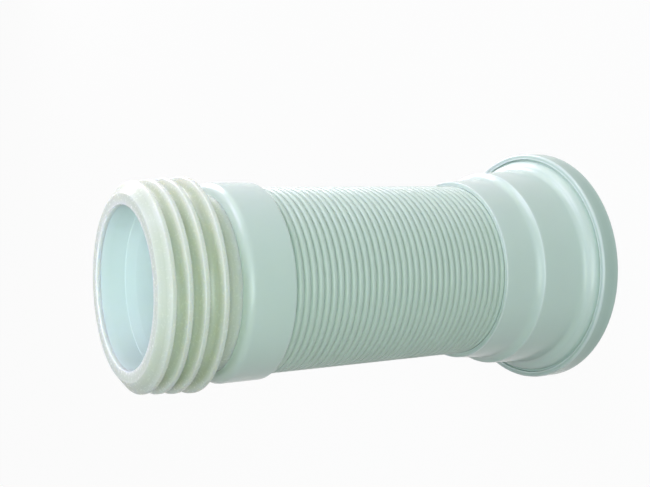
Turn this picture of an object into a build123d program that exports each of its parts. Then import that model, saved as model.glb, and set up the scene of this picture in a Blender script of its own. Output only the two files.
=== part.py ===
from build123d import *
import os

# Flexible toilet pan connector, compressed to its shortest length and standing on its inlet end.
# The axis is +Z, the face that meets the pan is at z = 0 and the finned outlet is on top.
# All sizes are in millimetres. Radii are measured from the axis, heights upwards.

# Retaining ring: a cap pushed over the cup's rim, which clamps the pan seal
ring_height = 11.6
ring_wall = 3.1
ring_flange = 2.5
ring_opening_gap = 3.5
ring_edge_chamfer = 1.0

# Inlet cup: a stepped moulding, widest at the rim, that takes the pan's outlet
pan_outlet_gap = 0.9
cup_wall = 2.8
body_draft = 1.6
rim_step = 7.0
rim_top = 10.8
rim_slope_step = 3.2
rim_slope_height = 3.5
rim_shoulder_height = 2.25
rim_shoulder_round = 5.0
rim_inner_drop = 0.5
socket_depth = 43.0
socket_roof = 1.6
neck_shoulder_step = 3.5
neck_shoulder_height = 1.7
neck_shoulder_round = 5.5
neck_wall = 2.75
neck_draft = 1.7
neck_length = 21.3
stop_web = 3.0
stop_web_lip = 2.7

# Pan seal: a soft ring whose conical lip grips the pan's outlet
pan_seal_flange = 2.5
pan_lip_grip = 6.0
pan_lip_height = 16.5
pan_lip_thickness = 2.2
pan_throat_land = 3.0

# Outlet spigot: the rigid tube and the collar that holds the hose, moulded as one
bore_step = 0.5
bore_step_depth = 16.0
tube_wall = 2.8
collar_wall = 2.5
collar_web = 7.0
collar_front_round = 4.5
collar_rear_taper = 3.0
collar_rear_wall = 0.7

# Corrugated hose: a folded tube with a plain cuff at each end
cuff_step = 5.2
cuff_wall = 1.8
outlet_cuff_length = 20.0
crest_rise = 0.3
rib_count = 34
rib_pitch = 3.87
fold_depth = 3.2
hose_wall = 1.0

# Finned seal: a soft sleeve over the tube with lips raked away from the mouth
sleeve_wall = 2.25
rim_thickness = 2.5
rim_lap = 3.0
fin_count = 4
fin_radius_last = 55.0
fin_reach = 8.7
fin_growth = 0.67
first_fin_depth = 7.1
fin_pitch = 8.0
last_fin_gap = 9.5
fin_tip_width = 2.6
fin_tip_chamfer = 0.8
fin_back_run = 1.0
fin_root_rise = 1.7
fin_foot_rise = 1.0
fin_flare = 1.9
seal_tail = 9.9

# Clearances between pieces that fit together
ring_fit = 0.1
seal_fit = 0.05
neck_fit = 0.05
collar_fit = 0.3

# Radii worked out from the sizes above. The soil pipe sets the largest fin, and the rest follows from it.
sleeve_radius = fin_radius_last - fin_reach
sleeve_bore = sleeve_radius - sleeve_wall
tube_radius = sleeve_bore - seal_fit
mouth_radius = tube_radius - tube_wall
bore_radius = mouth_radius - bore_step
cuff_radius = tube_radius + cuff_step
neck_bore = cuff_radius + neck_fit
neck_radius = neck_bore + neck_wall
neck_foot_radius = neck_radius + neck_draft
body_radius_high = neck_foot_radius + neck_shoulder_step
body_radius_low = body_radius_high + body_draft
cup_rim_radius = body_radius_low + rim_step
socket_radius = body_radius_high - cup_wall
pan_outlet_radius = socket_radius - pan_outlet_gap
ring_opening_radius = pan_outlet_radius + ring_opening_gap

# Heights worked out from the sizes above
cup_rim_end = ring_flange + pan_seal_flange
web_top = socket_depth + stop_web
body_high = socket_depth + socket_roof
neck_low = body_high + neck_shoulder_height
hose_low = neck_low + neck_length
hose_high = hose_low + rib_count * rib_pitch
outlet_cuff_end = hose_high + outlet_cuff_length
collar_top = outlet_cuff_end + collar_fit + collar_web
fin_depths = [first_fin_depth + fin * fin_pitch for fin in range(fin_count - 1)]
fin_depths += [fin_depths[-1] + last_fin_gap]
mouth_top = collar_top + seal_tail + fin_back_run + fin_depths[-1]
tube_top = mouth_top - rim_thickness


def turned(outline):
    """A ring turned about the axis from a closed outline of corners, each (radius, height).

    A third number at a corner is the radius that rounds it.
    """
    section = make_face(Polyline(*[corner[:2] for corner in outline], close=True))
    for corner in outline:
        if len(corner) == 3:
            vertex = section.vertices().sort_by_distance(corner[:2])[0]
            section = fillet(vertex, corner[2])
    return revolve(Plane.XZ * section, Axis.Z)


def retaining_ring():
    """An L section: an inward flange under the seal and a skirt over the cup's rim."""
    skirt_radius = cup_rim_radius + ring_fit
    outer_radius = skirt_radius + ring_wall
    return turned(
        [
            (ring_opening_radius, 0),
            (outer_radius - ring_edge_chamfer, 0),
            (outer_radius, ring_edge_chamfer),
            (outer_radius, ring_height - ring_edge_chamfer),
            (outer_radius - ring_edge_chamfer, ring_height),
            (skirt_radius, ring_height),
            (skirt_radius, ring_flange),
            (ring_opening_radius, ring_flange),
        ]
    )


def pan_seal():
    """A flange under the cup's rim and a lip that leans in to a short throat."""
    flange_radius = cup_rim_radius - ring_fit
    throat_radius = pan_outlet_radius - pan_lip_grip
    lip_top = cup_rim_end + pan_lip_height
    return turned(
        [
            (ring_opening_radius, ring_flange),
            (flange_radius, ring_flange),
            (flange_radius, cup_rim_end),
            (ring_opening_radius + pan_lip_thickness, cup_rim_end),
            (throat_radius + pan_lip_thickness, lip_top),
            (throat_radius, lip_top),
            (throat_radius, lip_top - pan_throat_land),
        ]
    )


def inlet_cup():
    """A stepped wall, with a web inside its neck that stops the pan's outlet and the hose."""
    web_radius = cuff_radius - stop_web_lip
    rim_bore = cup_rim_radius - cup_wall
    slope_top = rim_top + rim_slope_height
    body_low = slope_top + rim_shoulder_height
    outside = [
        (cup_rim_radius, cup_rim_end),
        (cup_rim_radius, rim_top),
        (cup_rim_radius - rim_slope_step, slope_top),
        (body_radius_low, body_low, rim_shoulder_round),
        (body_radius_high, body_high),
        (neck_foot_radius, neck_low, neck_shoulder_round),
        (neck_radius, hose_low),
    ]
    inside = [
        (neck_bore, hose_low),
        (neck_bore, web_top),
        (web_radius, web_top),
        (web_radius, socket_depth),
        (socket_radius, socket_depth),
        (socket_radius + body_draft, body_low - rim_inner_drop),
        (rim_bore, rim_top - rim_inner_drop),
        (rim_bore, cup_rim_end),
    ]
    return turned(outside + inside)


def corrugated_hose():
    """A folded wall outside, drawn root by root from the top, between two plain cuffs."""
    crest_radius = cuff_radius + crest_rise
    root_radius = crest_radius - fold_depth
    bore = root_radius - hose_wall
    cuff_bore = cuff_radius - cuff_wall
    folds = []
    for rib in range(rib_count):
        rib_top = hose_high - rib * rib_pitch
        folds += [(root_radius, rib_top), (crest_radius, rib_top - rib_pitch / 2)]
    folds += [(root_radius, hose_low)]
    outlet_cuff = [(cuff_bore, outlet_cuff_end), (cuff_radius, outlet_cuff_end), (cuff_radius, hose_high)]
    inlet_cuff = [(cuff_radius, hose_low), (cuff_radius, web_top), (cuff_bore, web_top)]
    inside = [(cuff_bore, hose_low), (bore, hose_low), (bore, hose_high), (cuff_bore, hose_high)]
    return turned(outlet_cuff + folds + inlet_cuff + inside)


def outlet_spigot():
    """A tube with a slightly wider mouth, opening below into the collar's socket."""
    collar_bore = cuff_radius + collar_fit
    collar_radius = collar_bore + collar_wall
    collar_floor = outlet_cuff_end + collar_fit
    step_height = mouth_top - bore_step_depth
    return turned(
        [
            (mouth_radius, tube_top),
            (tube_radius, tube_top),
            (tube_radius, collar_top),
            (collar_radius, collar_top, collar_front_round),
            (collar_radius, hose_high + collar_rear_taper),
            (collar_bore + collar_rear_wall, hose_high),
            (collar_bore, hose_high),
            (collar_bore, collar_floor),
            (bore_radius, collar_floor),
            (bore_radius, step_height - bore_step),
            (mouth_radius, step_height),
        ]
    )


def finned_seal():
    """A sleeve whose rim laps the tube's end, with flared lips that grow away from the mouth."""
    valley_radius = sleeve_radius + fin_root_rise
    outline = [(mouth_radius, tube_top), (mouth_radius, mouth_top), (tube_radius + rim_lap, mouth_top)]
    for fin in range(fin_count):
        tip_radius = fin_radius_last - (fin_count - 1 - fin) * fin_growth
        edge_radius = tip_radius - fin_tip_chamfer
        tip_bottom = mouth_top - fin_depths[fin]
        tip_top = tip_bottom + fin_tip_width
        if fin > 0:
            outline += [(valley_radius, valley_height), (valley_radius + fin_foot_rise, tip_top + fin_flare)]
        outline += [(edge_radius, tip_top), (tip_radius, tip_top - fin_tip_chamfer)]
        outline += [(tip_radius, tip_bottom + fin_tip_chamfer), (edge_radius, tip_bottom)]
        valley_height = tip_bottom - fin_back_run
    outline += [(sleeve_radius, valley_height), (sleeve_radius, collar_top)]
    outline += [(sleeve_bore, collar_top), (sleeve_bore, tube_top)]
    return turned(outline)


os.makedirs("parts", exist_ok=True)
export_step(retaining_ring(), "parts/retaining_ring.step")
export_step(pan_seal(), "parts/pan_seal.step")
export_step(inlet_cup(), "parts/inlet_cup.step")
export_step(corrugated_hose(), "parts/corrugated_hose.step")
export_step(outlet_spigot(), "parts/outlet_spigot.step")
export_step(finned_seal(), "parts/finned_seal.step")
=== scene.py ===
# %% [markdown]
# # A flexible toilet pan connector
# The part joins a toilet pan to the soil pipe. It stands on its inlet ring, with its axis along +Z:
# a stepped cup below, a folded hose in the middle, and a collar and a finned seal on top.
# The solids come first, as a fixed frame that the surfaces of this script are built around.

# %% Load the frame
import math

import bpy
import numpy as np
from mathutils import Matrix, Vector


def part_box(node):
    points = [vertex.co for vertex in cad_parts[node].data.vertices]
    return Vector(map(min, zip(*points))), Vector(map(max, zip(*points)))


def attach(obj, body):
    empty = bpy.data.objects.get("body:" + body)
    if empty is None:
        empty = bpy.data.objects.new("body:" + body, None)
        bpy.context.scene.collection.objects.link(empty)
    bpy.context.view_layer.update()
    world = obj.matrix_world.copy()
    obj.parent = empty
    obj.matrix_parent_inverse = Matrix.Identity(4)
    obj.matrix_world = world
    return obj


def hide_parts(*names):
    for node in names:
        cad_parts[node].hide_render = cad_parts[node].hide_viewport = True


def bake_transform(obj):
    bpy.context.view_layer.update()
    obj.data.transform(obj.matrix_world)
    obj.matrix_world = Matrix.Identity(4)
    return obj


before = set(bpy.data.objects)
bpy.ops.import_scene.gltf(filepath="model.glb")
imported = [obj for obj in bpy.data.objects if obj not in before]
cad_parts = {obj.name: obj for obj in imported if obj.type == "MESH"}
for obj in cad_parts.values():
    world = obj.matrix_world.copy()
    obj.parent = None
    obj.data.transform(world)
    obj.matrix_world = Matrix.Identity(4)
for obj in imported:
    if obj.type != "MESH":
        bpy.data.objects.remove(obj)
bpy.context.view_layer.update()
LOW = {node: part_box(node)[0].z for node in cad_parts}
HIGH = {node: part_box(node)[1].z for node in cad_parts}
REACH = {node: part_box(node)[1].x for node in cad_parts}
print("nodes", sorted(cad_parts), "height", round(HIGH["finned_seal"] - LOW["retaining_ring"], 4))

# %% [markdown]
# ## Camera
# The photograph looks along the outlet's side and a little into its mouth, with the part drawn lying down.
# The part stands here, so the camera is rolled about a quarter turn instead of the part being laid down.
# Its place and direction come from matching the rings of the part to the picture's ellipses.

# %% The photograph's camera
MM = 0.001
PICTURE_WIDTH = 650
FOCAL_PIXELS = 1026.0
SENSOR_WIDTH = 36.0
NEAREST = 0.01
FARTHEST = 50.0
CAMERA_PLACE = Vector((18.28, -487.93, 440.95)) * MM
CAMERA_RIGHT = Vector((-0.03738, -0.50788, -0.86062))
CAMERA_FORWARD = Vector((0.0, 0.86122, -0.50823))


def make_camera():
    """A camera whose three axes are the right, up and backward directions as columns."""
    data = bpy.data.cameras.new("photo_camera")
    data.sensor_width = SENSOR_WIDTH
    data.lens = FOCAL_PIXELS / PICTURE_WIDTH * SENSOR_WIDTH
    data.clip_start = NEAREST
    data.clip_end = FARTHEST
    back = -CAMERA_FORWARD.normalized()
    right = (CAMERA_RIGHT - CAMERA_RIGHT.dot(back) * back).normalized()
    up = back.cross(right)
    turn = Matrix((right, up, back)).transposed().to_4x4()
    camera = bpy.data.objects.new("photo_camera", data)
    camera.matrix_world = Matrix.Translation(CAMERA_PLACE) @ turn
    bpy.context.scene.collection.objects.link(camera)
    bpy.context.scene.camera = camera
    return camera


camera = make_camera()
print("lens", round(camera.data.lens, 2), "mm")

# %% [markdown]
# ## Turned surfaces
# Every piece is round, so each is one closed outline carried round the axis. An outline is a list of
# corners, and real mouldings have no sharp ones, so each corner has a radius and is drawn as an arc. Spin or
# a Screw modifier would do the turning too, but arrays give every loop its exact place and close the seam
# for good.

# %% Rounded outlines
ARC_STEPS = 7
STRAIGHT_STOPS = np.array([0.04, 0.35, 0.65, 0.96])


def rounded(corners):
    """The closed outline with an arc at each corner, given as rows of radius, height and rounding.

    At a corner P with unit directions u and v to its neighbours, and half the angle between them h, the arc
    starts and ends rounding / tan(h) from P, and its centre lies rounding / sin(h) along u + v. Seen from
    the centre, a share t along the arc of angle s lies at (sin((1 - t) s) start + sin(t s) end) / sin(s).
    """
    table = np.array(corners, float)
    place, rounding = table[:, :2], table[:, 2:3]
    before = np.roll(place, 1, axis=0) - place
    after = np.roll(place, -1, axis=0) - place
    u = before / np.linalg.norm(before, axis=1, keepdims=True)
    v = after / np.linalg.norm(after, axis=1, keepdims=True)
    half = np.arccos(np.clip((u * v).sum(axis=1, keepdims=True), -1, 1)) / 2
    middle = (u + v) / np.linalg.norm(u + v, axis=1, keepdims=True)
    centre = place + middle * rounding / np.sin(half)
    start = place + u * rounding / np.tan(half) - centre
    end = place + v * rounding / np.tan(half) - centre
    sweep = (math.pi - 2 * half)[:, :, None]
    t = np.linspace(0, 1, ARC_STEPS)[None, :, None]
    along = np.sin((1 - t) * sweep) * start[:, None] + np.sin(t * sweep) * end[:, None]
    arcs = centre[:, None] + along / np.sin(sweep)
    leave, arrive = arcs[:, -1], np.roll(arcs[:, 0], -1, axis=0)
    stops = STRAIGHT_STOPS[None, :, None]
    straights = leave[:, None] * (1 - stops) + arrive[:, None] * stops
    return np.concatenate([arcs, straights], axis=1).reshape(-1, 2)


print("points a corner", ARC_STEPS + len(STRAIGHT_STOPS))

# %% Edges, where a highlight is painted
HIGHLIGHT_REACH = 0.0006
EDGE_TURN = 1.2


# Where the outline turns outwards the materials paint a highlight, and this mask says how much.
def painted_highlight_mask(outline, reach):
    """How sharply the outline turns outwards near each point, from 0 to 1.

    A point's turn is the angle from the run before it to the run after it. The turns nearby are added up
    with the weight exp(-(distance / reach) ^ 2), and EDGE_TURN radians count as a full edge.
    """
    before = outline - np.roll(outline, 1, axis=0)
    after = np.roll(outline, -1, axis=0) - outline
    cross = before[:, 0] * after[:, 1] - before[:, 1] * after[:, 0]
    turn = np.arctan2(cross, (before * after).sum(axis=1))
    distance = np.linalg.norm(outline[:, None] - outline[None, :], axis=-1)
    near = np.exp(-((distance / reach) ** 2))
    return np.clip(near @ turn / EDGE_TURN, 0, 1)


# %% Turned pieces


def turned(name, outline, around, reach=HIGHLIGHT_REACH):
    """A closed surface: the outline's point (r, z) at angle a goes to (r cos a, r sin a, z).

    The outline runs anticlockwise, with the material on its left, so that the faces point outwards. Its edges
    are marked for the highlight that the materials paint there, as far from each corner as the reach says.
    """
    angle = np.arange(around) * (2 * math.pi / around)
    radius, height = outline[:, 0], outline[:, 1]
    x = np.cos(angle)[:, None] * radius
    y = np.sin(angle)[:, None] * radius
    z = np.broadcast_to(height, x.shape)
    points = np.stack([x, y, z], axis=-1).reshape(-1, 3)
    index = np.arange(around * len(outline)).reshape(around, len(outline))
    beside = np.roll(index, -1, axis=0)
    quads = np.stack([index, beside, np.roll(beside, -1, axis=1), np.roll(index, -1, axis=1)], axis=-1)
    mesh = bpy.data.meshes.new(name)
    mesh.from_pydata(points, [], quads.reshape(-1, 4))
    mesh.polygons.foreach_set("use_smooth", np.ones(len(mesh.polygons), bool))
    painted_edge_highlight = mesh.attributes.new("painted_edge_highlight", "FLOAT", "POINT")
    painted_edge_highlight.data.foreach_set("value", np.tile(painted_highlight_mask(outline, reach), around).astype(np.float32))
    mesh.update()
    piece = bpy.data.objects.new(name, mesh)
    bpy.context.scene.collection.objects.link(piece)
    print(name, len(mesh.vertices), "points", 2 * len(mesh.polygons), "triangles")
    return piece


def dress(piece, node, body):
    """The piece stands for its solid, which it hides, and moves with its body."""
    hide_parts(node)
    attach(piece, body)


# %% [markdown]
# ## Retaining ring
# A plain cap with an L section: a flange on the floor side that holds the seal, and a skirt over the cup's
# rim. Its front edge catches a thin bright line in the photograph, so that corner has a clear round. A
# Bevel modifier would round every edge alike, and here each corner of the outline has its own radius.

# %% The ring
AROUND = 256
FINE = 0.0004
RING_FIT = 0.0001
RING_FOOT_ROUND = 0.0010
RING_FRONT_ROUND = 0.0012
SKIRT_RADIUS = REACH["inlet_cup"] + RING_FIT
OPENING_RADIUS = 0.0570
RING_FLANGE = LOW["pan_seal"]


def ring_outline():
    """An L, drawn from the opening's foot."""
    outer, top = REACH["retaining_ring"], HIGH["retaining_ring"]
    return [
        (OPENING_RADIUS, 0.0, FINE),
        (outer, 0.0, RING_FOOT_ROUND),
        (outer, top, RING_FRONT_ROUND),
        (SKIRT_RADIUS, top, FINE),
        (SKIRT_RADIUS, RING_FLANGE, FINE),
        (OPENING_RADIUS, RING_FLANGE, FINE),
    ]


ring = turned("end_ring", rounded(ring_outline()), AROUND)
dress(ring, "retaining_ring", "inlet_end")

# %% [markdown]
# ## Pan seal
# A soft ring hidden in the cup. Its flange is clamped under the cup's rim and its lip leans in, so that a
# pan outlet pushed through it is gripped all round. A cloth simulation could bend the lip, but with no pan
# in it the lip is a plain cone, so it is turned like the ring, with rounder edges.

# %% The lip seal
LIP_THICKNESS = 0.0022
LIP_ROOT_ROUND = 0.0015
LIP_EDGE_ROUND = 0.0009
THROAT_RADIUS = 0.0475
THROAT_LAND = 0.0030
THROAT_ROUND = 0.0020


def lip_outline():
    """A flat flange, then a lip of even thickness up to the throat."""
    low, rim_end, top = LOW["pan_seal"], LOW["inlet_cup"], HIGH["pan_seal"]
    return [
        (OPENING_RADIUS, low, FINE),
        (REACH["pan_seal"], low, FINE),
        (REACH["pan_seal"], rim_end, FINE),
        (OPENING_RADIUS + LIP_THICKNESS, rim_end, LIP_ROOT_ROUND),
        (THROAT_RADIUS + LIP_THICKNESS, top, LIP_EDGE_ROUND),
        (THROAT_RADIUS, top, LIP_EDGE_ROUND),
        (THROAT_RADIUS, top - THROAT_LAND, THROAT_ROUND),
    ]


lip_seal = turned("lip_seal", rounded(lip_outline()), AROUND)
dress(lip_seal, "pan_seal", "inlet_end")

# %% [markdown]
# ## Inlet cup
# A hard moulding in three steps. The photograph shows each shoulder as a highlight that grows softly out of
# the narrower wall, so each starts in a wide hollow. The upper one runs out to a crisp edge. The lower one
# rounds over into a narrow groove beside the ring, which darkens towards the underside. The walls lean in a
# little, so that the mould lets go. Three tubes joined by a Boolean would be quicker, but they would have
# no hollows for the light to fade in.

# %% Sizes of the cup
CUP_WALL = 0.0028
INNER_DROP = 0.0005
RIM_TOP = 0.0108
GROOVE_RADIUS = 0.0646
GROOVE_FLOOR = 0.0099
GROOVE_ROUND = 0.0007
SHOULDER_HEIGHT = 0.0142
SHOULDER_ROUND = 0.0052
BODY_RADIUS_LOW = 0.0588
BODY_LOW = 0.01655
BODY_HOLLOW = 0.0040
BODY_RADIUS_HIGH = 0.0572
BODY_HIGH = 0.0446
BODY_EDGE_ROUND = 0.0008
NECK_RADIUS_LOW = 0.0537
NECK_LOW = 0.0463
NECK_HOLLOW = 0.0055
NECK_RADIUS_HIGH = 0.0520
NECK_BORE = 0.04925
NECK_BORE_ROUND = 0.0006
WEB_RADIUS = 0.0465
WEB_LOW = 0.0430
WEB_TOP = LOW["corrugated_hose"]
SOCKET_ROOF_ROUND = 0.0010
SOCKET_FOOT = BODY_LOW - INNER_DROP
SOCKET_FOOT_ROUND = 0.0030
RIM_BORE_TOP = RIM_TOP - INNER_DROP
RIM_BORE_ROUND = 0.0020
print("cup body", round(2 * BODY_RADIUS_LOW / MM, 1), "mm across")

# %% The stepped cup


def cup_outside():
    """Up the outside: the rim in the ring, the groove, two shoulders and the neck."""
    rim = REACH["inlet_cup"]
    return [
        (rim, LOW["inlet_cup"], FINE),
        (rim, GROOVE_FLOOR, FINE),
        (GROOVE_RADIUS, GROOVE_FLOOR, GROOVE_ROUND),
        (GROOVE_RADIUS, SHOULDER_HEIGHT, SHOULDER_ROUND),
        (BODY_RADIUS_LOW, BODY_LOW, BODY_HOLLOW),
        (BODY_RADIUS_HIGH, BODY_HIGH, BODY_EDGE_ROUND),
        (NECK_RADIUS_LOW, NECK_LOW, NECK_HOLLOW),
        (NECK_RADIUS_HIGH, HIGH["inlet_cup"], FINE),
    ]


def cup_inside():
    """Down the inside: the hose's seat, the stop web, the pan's socket and the rim's bore."""
    rim_bore = REACH["inlet_cup"] - CUP_WALL
    return [
        (NECK_BORE, HIGH["inlet_cup"], NECK_BORE_ROUND),
        (NECK_BORE, WEB_TOP, FINE),
        (WEB_RADIUS, WEB_TOP, FINE),
        (WEB_RADIUS, WEB_LOW, FINE),
        (BODY_RADIUS_HIGH - CUP_WALL, WEB_LOW, SOCKET_ROOF_ROUND),
        (BODY_RADIUS_LOW - CUP_WALL, SOCKET_FOOT, SOCKET_FOOT_ROUND),
        (rim_bore, RIM_BORE_TOP, RIM_BORE_ROUND),
        (rim_bore, LOW["inlet_cup"], FINE),
    ]


cup = turned("stepped_cup", rounded(cup_outside() + cup_inside()), AROUND)
dress(cup, "inlet_cup", "inlet_end")

# %% [markdown]
# ## Corrugated hose
# The hose is pushed together, so its folds lie close: full round crests with a narrow dark groove between
# them. A sine wave would give grooves as wide as the crests, so each crest is a superellipse, which is flat
# on top and steep at its sides. The folds are set a little towards the cup, so the first one starts inside
# its neck, and a dark groove is left behind the collar. The hose joins the two moving ends, and it is tied to
# neither of them.

# %% The folds
RIB_COUNT = 34
CREST_FLATNESS = 2.7
CREST_FULLNESS = 2.4
FOLD_SHIFT = 0.0013
HOSE_LOW = HIGH["inlet_cup"]
HOSE_HIGH = LOW["outlet_spigot"]
RIB_PITCH = (HOSE_HIGH - HOSE_LOW) / RIB_COUNT
FOLDS_LOW = HOSE_LOW - FOLD_SHIFT
FOLDS_HIGH = HOSE_HIGH - FOLD_SHIFT


def crest(points):
    """One crest from groove to groove: across from -1 to 1 and up from 0 to 1 on a superellipse.

    Its points are across = sign(cos a) |cos a| ^ (2 / flatness) and up = sin(a) ^ (2 / fullness).
    """
    a = np.linspace(math.pi, 0, points, endpoint=False)
    across = np.sign(np.cos(a)) * np.abs(np.cos(a)) ** (2 / CREST_FLATNESS)
    up = np.clip(np.sin(a), 0, 1) ** (2 / CREST_FULLNESS)
    return across, up


def folds(points, foot, rise):
    """Every crest in turn from the cup upwards, as rows of radius and height.

    A crest's points have the radius foot + up * rise and the height middle + across * pitch / 2.
    """
    across, up = crest(points)
    middle = FOLDS_LOW + (np.arange(RIB_COUNT) + 0.5) * RIB_PITCH
    height = middle[:, None] + across * RIB_PITCH / 2
    radius = np.broadcast_to(foot + up * rise, height.shape)
    return np.stack([radius, height], axis=-1).reshape(-1, 2)


print("ribs", RIB_COUNT, "pitch", round(RIB_PITCH / MM, 2), "mm")

# %% The folded hose
HOSE_AROUND = 192
OUTSIDE_POINTS = 10
INSIDE_POINTS = 4
FOLD_DEPTH = 0.0032
HOSE_WALL = 0.0010
CUFF_RADIUS = 0.0492
CUFF_WALL = 0.0018


def hose_outline():
    """Up the outside, over the outlet cuff, down the inside and under the inlet cuff."""
    root = REACH["corrugated_hose"] - FOLD_DEPTH
    outside = folds(OUTSIDE_POINTS, root, FOLD_DEPTH)
    in_neck = outside[:, 1] < HOSE_LOW
    outside[in_neck, 0] = np.minimum(outside[in_neck, 0], CUFF_RADIUS)
    groove = [(root, FOLDS_HIGH), (root, HOSE_HIGH)]
    inside = folds(INSIDE_POINTS, root - HOSE_WALL + FOLD_DEPTH, -FOLD_DEPTH)
    cuff_bore = CUFF_RADIUS - CUFF_WALL
    low, high = LOW["corrugated_hose"], HIGH["corrugated_hose"]
    inlet_cuff = [(cuff_bore, low), (CUFF_RADIUS, low), (CUFF_RADIUS, FOLDS_LOW)]
    outlet_cuff = [(CUFF_RADIUS, HOSE_HIGH), (CUFF_RADIUS, high), (cuff_bore, high), (cuff_bore, HOSE_HIGH)]
    return np.concatenate([inlet_cuff, outside, groove, outlet_cuff, inside[::-1]])


hose = turned("folded_hose", hose_outline(), HOSE_AROUND)
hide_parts("corrugated_hose")
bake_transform(hose)

# %% [markdown]
# ## Outlet spigot
# One hard moulding: a tube that carries the seal, and the wide smooth collar that takes the hose. Inside the
# mouth a hairline shows where the bore starts to narrow: a tiny ledge, and then a slow taper. The material
# could draw a dark line there, but a real ledge catches the light from every side.

# %% The tube and collar
MOUTH_RADIUS = 0.0412
BORE_RADIUS = 0.0407
TUBE_RADIUS = 0.0440
BORE_STEP_DEPTH = 0.0160
BORE_LEDGE = 0.00012
BORE_TAPER = 0.0060
BORE_TAPER_ROUND = 0.0020
COLLAR_BORE = 0.0495
COLLAR_GAP = 0.0003
COLLAR_REAR_ROUND = 0.0023
COLLAR_FRONT_ROUND = 0.0045
CRISP = 0.0002
SEAT_ROUND = 0.0001
HAIRLINE = 0.00003
COLLAR_TOP = LOW["finned_seal"]
MOUTH_TOP = HIGH["finned_seal"]


def spigot_outline():
    """Up the collar and the tube, over its end, and down the bore to the collar's socket."""
    collar, low, top = REACH["outlet_spigot"], LOW["outlet_spigot"], HIGH["outlet_spigot"]
    step = MOUTH_TOP - BORE_STEP_DEPTH
    floor = HIGH["corrugated_hose"] + COLLAR_GAP
    return [
        (COLLAR_BORE, low, CRISP),
        (collar, low, COLLAR_REAR_ROUND),
        (collar, COLLAR_TOP, COLLAR_FRONT_ROUND),
        (TUBE_RADIUS, COLLAR_TOP, CRISP),
        (TUBE_RADIUS, top, FINE),
        (MOUTH_RADIUS, top, SEAT_ROUND),
        (MOUTH_RADIUS, step, HAIRLINE),
        (MOUTH_RADIUS - BORE_LEDGE, step, HAIRLINE),
        (BORE_RADIUS, step - BORE_TAPER, BORE_TAPER_ROUND),
        (BORE_RADIUS, floor, FINE),
        (COLLAR_BORE, floor, FINE),
    ]


spigot = turned("tube_and_collar", rounded(spigot_outline()), AROUND)
dress(spigot, "outlet_spigot", "outlet_end")

# %% [markdown]
# ## Finned seal
# A soft sleeve over the tube. Each fin flares from a slim foot to a round tip and has a steep back, so it
# folds away as it goes into the pipe and then bites. The first one runs straight from the rim, which laps
# over the end of the tube. The fins could be separate rings, but the real seal is one moulding, and so is
# this outline. Light comes through the thin lips, so the highlight painted on their edges reaches further in
# than on hard pieces.

# %% The fins
FIN_COUNT = 4
FIN_DEPTHS = [0.0071, 0.0151, 0.0231, 0.0326]
FIN_GROWTH = 0.00067
FIN_TIP_WIDTH = 0.0026
FIN_TIP_CHAMFER = 0.0004
FIN_TIP_ROUND = 0.0005
FIN_BACK_RUN = 0.0010
FIN_VALLEY_ROUND = 0.0006
FIN_VALLEY_RADIUS = 0.0480
FIN_FOOT_RISE = 0.0010
FIN_FLARE = 0.0019
FIN_FOOT_ROUND = 0.0035
SLEEVE_RADIUS = 0.0463


def fin_corners(fin):
    """The valley behind one fin, the bead of its tip and the foot of its front, up to the next valley."""
    tip = REACH["finned_seal"] - (FIN_COUNT - 1 - fin) * FIN_GROWTH
    tip_low = MOUTH_TOP - FIN_DEPTHS[fin]
    tip_top = tip_low + FIN_TIP_WIDTH
    last = fin == FIN_COUNT - 1
    corners = [
        (SLEEVE_RADIUS if last else FIN_VALLEY_RADIUS, tip_low - FIN_BACK_RUN, FIN_VALLEY_ROUND),
        (tip - FIN_TIP_CHAMFER, tip_low, FIN_TIP_ROUND),
        (tip, tip_low + FIN_TIP_CHAMFER, FIN_TIP_ROUND),
        (tip, tip_top - FIN_TIP_CHAMFER, FIN_TIP_ROUND),
        (tip - FIN_TIP_CHAMFER, tip_top, FIN_TIP_ROUND),
    ]
    if fin > 0:
        corners.append((FIN_VALLEY_RADIUS + FIN_FOOT_RISE, tip_top + FIN_FLARE, FIN_FOOT_ROUND))
    return corners


print("fins", FIN_COUNT, "within", round(FIN_DEPTHS[-1] / MM, 1), "mm of the mouth")

# %% The finned sleeve
# How far the painted highlight reaches in from the fins' edges.
FIN_HIGHLIGHT_REACH = 0.0022
SLEEVE_BORE = 0.04405
RIM_RADIUS = 0.0470
RIM_ROUND = 0.0005


def seal_outline():
    """Up the sleeve and its fins to the rim, then down the bore that fits the tube."""
    tube_top = HIGH["outlet_spigot"]
    fins = [corner for fin in reversed(range(FIN_COUNT)) for corner in fin_corners(fin)]
    tail = [(SLEEVE_BORE, COLLAR_TOP, CRISP), (SLEEVE_RADIUS, COLLAR_TOP, CRISP)]
    rim = [(RIM_RADIUS, MOUTH_TOP, RIM_ROUND), (MOUTH_RADIUS, MOUTH_TOP, RIM_ROUND)]
    seat = [(MOUTH_RADIUS, tube_top, SEAT_ROUND), (SLEEVE_BORE, tube_top, CRISP)]
    return tail + fins + rim + seat


fin_seal = turned("finned_sleeve", rounded(seal_outline()), AROUND, FIN_HIGHLIGHT_REACH)
dress(fin_seal, "finned_seal", "outlet_end")

# %% [markdown]
# ## Shared surface effects
# White mouldings are never one flat colour: the plastic flows unevenly as it fills the mould, turned moulds
# leave fine rings, and the surface has a fine grain. A painted picture could hold all that, but noise needs
# no picture and fits every piece. On top of that, a paler highlight is painted on the edges, standing in for
# the light that comes through them and catches on their rounds. Every material wants these effects, so they
# are one node group with its own inputs. The painted edge highlights come from a value that each mesh carries
# at its points, worked out from how sharply its outline turns there.

# %% Helpers for nodes
NOISE_LOW = 0.3
NOISE_HIGH = 0.7


def add(nodes, kind, **settings):
    """A new shader node with its settings."""
    node = nodes.new(kind)
    for name, value in settings.items():
        setattr(node, name, value)
    return node


def noise(nodes, link, place, detail):
    """A noise that is read at the place given."""
    node = add(nodes, "ShaderNodeTexNoise")
    node.inputs["Detail"].default_value = detail
    link(place, node.inputs["Vector"])
    return node


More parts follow.
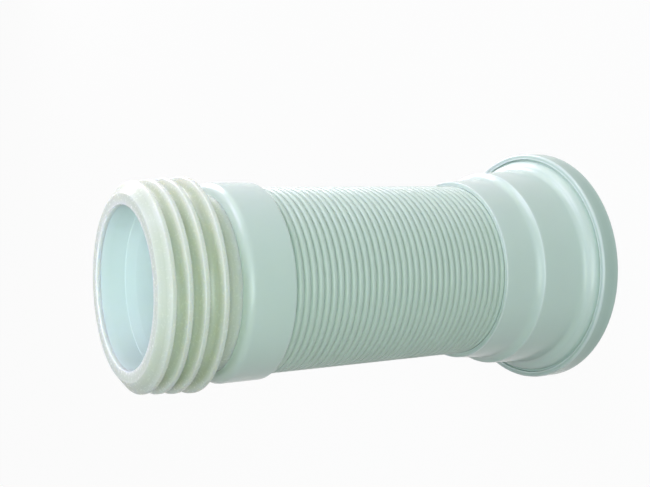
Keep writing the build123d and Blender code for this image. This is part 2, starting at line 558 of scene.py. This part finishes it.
def widened(nodes, link, value):
    """The middle of a noise's range, where nearly all of it lies, spread over 0 to 1."""
    node = add(nodes, "ShaderNodeMapRange")
    node.inputs["From Min"].default_value = NOISE_LOW
    node.inputs["From Max"].default_value = NOISE_HIGH
    link(value, node.inputs["Value"])
    return node.outputs["Result"]


def blended(nodes, link, kind, share, first, second):
    """A mix of two values or colours, from the first at share 0 to the second at share 1."""
    node = add(nodes, "ShaderNodeMix", data_type=kind)
    link(share, node.inputs["Factor"])
    link(first, node.inputs["A"])
    link(second, node.inputs["B"])
    return node.outputs["Result"]


# %% Fine rings
STREAK_SCALE = 1100.0
STREAK_DETAIL = 1.0


def streaks(nodes, link, place):
    """Fine rings: noise that is read at (radius, 0, height), so that it is the same all round."""
    split = add(nodes, "ShaderNodeSeparateXYZ")
    link(place, split.inputs["Vector"])
    flat = add(nodes, "ShaderNodeCombineXYZ")
    link(split.outputs["X"], flat.inputs["X"])
    link(split.outputs["Y"], flat.inputs["Y"])
    radius = add(nodes, "ShaderNodeVectorMath", operation="LENGTH")
    link(flat.outputs["Vector"], radius.inputs[0])
    spot = add(nodes, "ShaderNodeCombineXYZ")
    link(radius.outputs["Value"], spot.inputs["X"])
    link(split.outputs["Z"], spot.inputs["Z"])
    rings = noise(nodes, link, spot.outputs["Vector"], STREAK_DETAIL)
    rings.inputs["Scale"].default_value = STREAK_SCALE
    return widened(nodes, link, rings.outputs["Fac"])


# %% The moulding group
CLOUD_DETAIL = 3.0
GRAIN_DETAIL = 2.0
GLOSS_SPREAD = 0.12
INPUTS = {
    "Light Tone": "NodeSocketColor",
    "Deep Tone": "NodeSocketColor",
    "Painted Edge Highlight": "NodeSocketColor",
    "Streak": "NodeSocketFloat",
    "Cloud Scale": "NodeSocketFloat",
    "Grain Scale": "NodeSocketFloat",
    "Roughness": "NodeSocketFloat",
}
OUTPUTS = {"Color": "NodeSocketColor", "Roughness": "NodeSocketFloat", "Height": "NodeSocketFloat"}


def moulding_group():
    """Mixes two near colours by cloud and rings, paints a highlight on the edges, and varies the gloss and
    grain.
    """
    group = bpy.data.node_groups.new("moulding", "ShaderNodeTree")
    for name, kind in INPUTS.items():
        group.interface.new_socket(name, in_out="INPUT", socket_type=kind)
    for name, kind in OUTPUTS.items():
        group.interface.new_socket(name, in_out="OUTPUT", socket_type=kind)
    nodes, link = group.nodes, group.links.new
    given = add(nodes, "NodeGroupInput")
    result = add(nodes, "NodeGroupOutput")
    place = add(nodes, "ShaderNodeTexCoord").outputs["Object"]
    cloud = noise(nodes, link, place, CLOUD_DETAIL)
    link(given.outputs["Cloud Scale"], cloud.inputs["Scale"])
    grain = noise(nodes, link, place, GRAIN_DETAIL)
    link(given.outputs["Grain Scale"], grain.inputs["Scale"])
    clouds = widened(nodes, link, cloud.outputs["Fac"])
    rings = streaks(nodes, link, place)
    share = blended(nodes, link, "FLOAT", given.outputs["Streak"], clouds, rings)
    tone = blended(nodes, link, "RGBA", share, given.outputs["Light Tone"], given.outputs["Deep Tone"])
    # Painted highlight: the colour on the edges is mixed towards the pale highlight tone.
    painted_edge_highlight = add(nodes, "ShaderNodeAttribute", attribute_name="painted_edge_highlight")
    with_painted_highlight = blended(nodes, link, "RGBA", painted_edge_highlight.outputs["Fac"], tone, given.outputs["Painted Edge Highlight"])
    link(with_painted_highlight, result.inputs["Color"])
    gloss = add(nodes, "ShaderNodeMath", operation="MULTIPLY_ADD")
    gloss.inputs[1].default_value = GLOSS_SPREAD
    link(grain.outputs["Fac"], gloss.inputs[0])
    link(given.outputs["Roughness"], gloss.inputs[2])
    link(gloss.outputs["Value"], result.inputs["Roughness"])
    link(grain.outputs["Fac"], result.inputs["Height"])
    return group


MOULDING = moulding_group()
print("group", MOULDING.name, len(MOULDING.nodes), "nodes")

# %% [markdown]
# ## Materials
# The hard pieces are cool white with a soft gloss, and the ring is a copy of that plastic painted darker, as
# painted shade. The hose is a satin white, and the seals are a warmer cream rubber. Each could be wired up by
# itself, but they differ only in their values, so they share one recipe. Some light goes a little way into
# all of them.

# %% The recipe
GRAIN_STRENGTH = 0.25
GLOW_TINT = (1.0, 0.9, 0.7)


def moulded_material(name, light, deep, painted_edge_highlight, streak, roughness, cloud, grain, grain_depth, glow, glow_depth):
    """A dielectric whose colour, roughness and grain come from the moulding group.

    A share of the light, glow, goes glow_depth into it and comes out beside the point where it went in.
    """
    material = bpy.data.materials.new(name)
    material.use_nodes = True
    nodes, link = material.node_tree.nodes, material.node_tree.links.new
    shader = nodes["Principled BSDF"]
    shader.inputs["Subsurface Weight"].default_value = glow
    shader.inputs["Subsurface Radius"].default_value = GLOW_TINT
    shader.inputs["Subsurface Scale"].default_value = glow_depth
    surface = add(nodes, "ShaderNodeGroup", node_tree=MOULDING)
    surface.inputs["Light Tone"].default_value = (*light, 1)
    surface.inputs["Deep Tone"].default_value = (*deep, 1)
    surface.inputs["Painted Edge Highlight"].default_value = (*painted_edge_highlight, 1)
    surface.inputs["Streak"].default_value = streak
    surface.inputs["Cloud Scale"].default_value = cloud
    surface.inputs["Grain Scale"].default_value = grain
    surface.inputs["Roughness"].default_value = roughness
    bump = add(nodes, "ShaderNodeBump")
    bump.inputs["Strength"].default_value = GRAIN_STRENGTH
    bump.inputs["Distance"].default_value = grain_depth
    link(surface.outputs["Color"], shader.inputs["Base Color"])
    link(surface.outputs["Roughness"], shader.inputs["Roughness"])
    link(surface.outputs["Height"], bump.inputs["Height"])
    link(bump.outputs["Normal"], shader.inputs["Normal"])
    return material


# %% The hard plastic, and the ring's darker copy of it with painted shade
HARD = {
    "streak": 0.1,
    "roughness": 0.16,
    "cloud": 22,
    "grain": 900,
    "grain_depth": 0.00002,
    "glow": 0.25,
    "glow_depth": 0.0010,
}
# Each material's edge colour is a painted highlight, paler than its own tone.
RIGID = moulded_material(
    "cool_white_plastic",
    light=(0.72, 0.83, 0.78),
    deep=(0.69, 0.81, 0.75),
    painted_edge_highlight=(0.80, 0.89, 0.86),
    **HARD,
)
# The ring's copy of the hard plastic: its tones are painted darker as painted shade, and its edge tone is a
# bright painted highlight.
RING_WITH_PAINTED_SHADE = moulded_material(
    "cool_white_plastic_painted_shade",
    light=(0.57, 0.70, 0.645),
    deep=(0.54, 0.675, 0.615),
    painted_edge_highlight=(0.86, 0.94, 0.93),
    **HARD,
)
print("hard", RIGID.name, RING_WITH_PAINTED_SHADE.name)

# %% The hose and the two rubbers
HOSE = moulded_material(
    "satin_hose_plastic",
    light=(0.64, 0.75, 0.68),
    deep=(0.61, 0.72, 0.65),
    painted_edge_highlight=(0.67, 0.78, 0.71),
    streak=0.1,
    roughness=0.30,
    cloud=30,
    grain=1200,
    grain_depth=0.00002,
    glow=0.25,
    glow_depth=0.0008,
)
CREAM = moulded_material(
    "cream_seal_rubber",
    light=(0.71, 0.76, 0.635),
    deep=(0.66, 0.71, 0.58),
    painted_edge_highlight=(0.82, 0.85, 0.77),
    streak=0.5,
    roughness=0.20,
    cloud=35,
    grain=700,
    grain_depth=0.00001,
    glow=0.9,
    glow_depth=0.0040,
)
LIP = moulded_material(
    "lip_seal_rubber",
    light=(0.76, 0.78, 0.68),
    deep=(0.71, 0.74, 0.63),
    painted_edge_highlight=(0.86, 0.87, 0.80),
    streak=0.5,
    roughness=0.45,
    cloud=35,
    grain=700,
    grain_depth=0.00006,
    glow=0.35,
    glow_depth=0.0015,
)
print("soft", HOSE.name, CREAM.name, LIP.name)

# %% Each piece gets its finish
FINISHES = [(ring, RING_WITH_PAINTED_SHADE), (cup, RIGID), (spigot, RIGID), (hose, HOSE), (fin_seal, CREAM), (lip_seal, LIP)]
for piece, material in FINISHES:
    piece.data.materials.append(material)
print("materials", [material.name for _, material in FINISHES])

# %% [markdown]
# ## Floor and sky
# The photograph has a white ground. More light would whiten the floor, but would wash out the part as well.
# So the floor is pale and keeps the part's shadow, and to the camera most of its light is its own. The sky
# is white to the camera in the same way, and dark to the part, so that the lamps alone shade it.

# %% White for the eye


def white_to_the_eye(nodes, link):
    """1 for rays from the camera, a gloss or a clear body, and 0 for the light that shades the part."""
    path = add(nodes, "ShaderNodeLightPath")
    first = add(nodes, "ShaderNodeMath", operation="MAXIMUM")
    second = add(nodes, "ShaderNodeMath", operation="MAXIMUM")
    link(path.outputs["Is Camera Ray"], first.inputs[0])
    link(path.outputs["Is Glossy Ray"], first.inputs[1])
    link(first.outputs["Value"], second.inputs[0])
    link(path.outputs["Is Transmission Ray"], second.inputs[1])
    return second.outputs["Value"]


# %% The floor
FLOOR_HALF = 30.0
FLOOR_DROP = 0.0002
FLOOR_PAINT = (0.50, 0.51, 0.50)
FLOOR_GLOW = 0.96
WHITE_STRENGTH = 1.0


def floor_material():
    """Pale paint, with a white glow of its own mixed in for the eye."""
    material = bpy.data.materials.new("pale_floor")
    material.use_nodes = True
    nodes, link = material.node_tree.nodes, material.node_tree.links.new
    nodes.clear()
    paint = add(nodes, "ShaderNodeBsdfDiffuse")
    paint.inputs["Color"].default_value = (*FLOOR_PAINT, 1)
    glow = add(nodes, "ShaderNodeEmission")
    glow.inputs["Strength"].default_value = WHITE_STRENGTH
    share = add(nodes, "ShaderNodeMath", operation="MULTIPLY")
    share.inputs[1].default_value = FLOOR_GLOW
    link(white_to_the_eye(nodes, link), share.inputs[0])
    both = add(nodes, "ShaderNodeMixShader")
    link(share.outputs["Value"], both.inputs["Fac"])
    link(paint.outputs["BSDF"], both.inputs[1])
    link(glow.outputs["Emission"], both.inputs[2])
    end = add(nodes, "ShaderNodeOutputMaterial")
    link(both.outputs["Shader"], end.inputs["Surface"])
    return material


def make_floor():
    """A flat square just under the part."""
    corners = np.array([(-1, -1, 0), (1, -1, 0), (1, 1, 0), (-1, 1, 0)]) * FLOOR_HALF
    mesh = bpy.data.meshes.new("floor")
    mesh.from_pydata(corners + (0, 0, -FLOOR_DROP), [], [(0, 1, 2, 3)])
    mesh.materials.append(floor_material())
    floor = bpy.data.objects.new("floor", mesh)
    bpy.context.scene.collection.objects.link(floor)


make_floor()
print("floor", 2 * FLOOR_HALF, "m across")

# %% The sky
SKY_TO_THE_PART = (0.0, 0.0, 0.0)
SKY_TO_THE_EYE = (1.0, 1.0, 1.0)


def make_sky():
    """A dark sky for the light, and a white one for the eye."""
    world = bpy.data.worlds.new("sky")
    bpy.context.scene.world = world
    world.use_nodes = True
    nodes, link = world.node_tree.nodes, world.node_tree.links.new
    tint = add(nodes, "ShaderNodeMix", data_type="RGBA")
    tint.inputs["A"].default_value = (*SKY_TO_THE_PART, 1)
    tint.inputs["B"].default_value = (*SKY_TO_THE_EYE, 1)
    link(white_to_the_eye(nodes, link), tint.inputs["Factor"])
    link(tint.outputs["Result"], nodes["Background"].inputs["Color"])


make_sky()
print("sky", SKY_TO_THE_PART, "to the part")

# %% [markdown]
# ## Lamps
# A bright sky would light every side alike, and the folds would lose their shade. Six soft boxes light the
# part instead: from +X, which is up in the picture, from behind it, from the camera's side and from the
# mouth's side. They are tinted, because the photograph has a cool cast that changes from side to side. A
# bore is lit only through its mouth, so an oval spot shines into it and moves with the outlet.

# %% Soft boxes
# Each row is a name, what the lamp looks at, the direction it shines from, its distance and size in metres,
# its power in watts and its colour.
PART_MIDDLE = Vector((0, 0, HIGH["finned_seal"] / 2))
MOUTH_MIDDLE = Vector((0, 0, HIGH["finned_seal"]))
LAMPS = [
    ("top", PART_MIDDLE, (1.0, 0.0, 0.05), 1.0, 0.6, 2.0, (0.80, 1.0, 0.70)),
    ("top_back", PART_MIDDLE, (0.7, 0.7, 0.1), 1.2, 0.7, 12.0, (0.97, 0.92, 1.0)),
    ("top_left", PART_MIDDLE, (0.75, 0.0, 0.65), 0.9, 0.5, 3.6, (0.86, 0.79, 1.0)),
    ("front", PART_MIDDLE, (-0.06, -0.91, 0.40), 0.8, 0.5, 2.6, (0.84, 1.0, 1.0)),
    ("left", MOUTH_MIDDLE, (-0.10, -0.15, 1.0), 0.8, 0.80, 1.7, (0.74, 0.84, 1.0)),
    ("low_front", MOUTH_MIDDLE, (-0.25, -0.78, 0.57), 0.8, 0.35, 1.0, (0.90, 1.0, 0.72)),
]


def make_lamp(name, aim, direction, distance, size, power, colour):
    """A square soft box that looks at its aim from that direction."""
    data = bpy.data.lights.new(name, "AREA")
    data.size = size
    data.energy = power
    data.color = colour
    way = Vector(direction).normalized()
    lamp = bpy.data.objects.new(name, data)
    lamp.location = aim + way * distance
    lamp.rotation_euler = way.to_track_quat("Z", "Y").to_euler()
    bpy.context.scene.collection.objects.link(lamp)


for lamp in LAMPS:
    make_lamp(*lamp)
print("lamps", [lamp[0] for lamp in LAMPS])

# %% The spot in the mouth
MOUTH_POWER = 7.1
MOUTH_COLOUR = (0.74, 0.81, 1.0)
MOUTH_WAY = Vector((-0.12, -0.62, 0.77)).normalized()
MOUTH_DISTANCE = 0.45
MOUTH_SPREAD = 1.10
MOUTH_BLEND = 0.15
MOUTH_SOFTNESS = 0.02
MOUTH_SHIFT = Vector((0, 0.003, 0))
MOUTH_AIM = MOUTH_MIDDLE + MOUTH_SHIFT


def make_mouth_lamp():
    """An oval spot that fills the mouth, lights the far wall of the bore and moves with the outlet."""
    data = bpy.data.lights.new("mouth", "SPOT")
    data.energy = MOUTH_POWER
    data.color = MOUTH_COLOUR
    data.spot_size = 2 * math.atan(MOUTH_SPREAD * MOUTH_RADIUS / MOUTH_DISTANCE)
    data.spot_blend = MOUTH_BLEND
    data.shadow_soft_size = MOUTH_SOFTNESS
    lamp = bpy.data.objects.new("mouth", data)
    lamp.location = MOUTH_AIM + MOUTH_WAY * MOUTH_DISTANCE
    lamp.scale.y = MOUTH_WAY.z
    lamp.rotation_euler = MOUTH_WAY.to_track_quat("Z", "Y").to_euler()
    bpy.context.scene.collection.objects.link(lamp)
    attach(lamp, "outlet_end")


make_mouth_lamp()
bpy.context.scene.view_settings.view_transform = "Standard"
print("spot", MOUTH_POWER, "W")
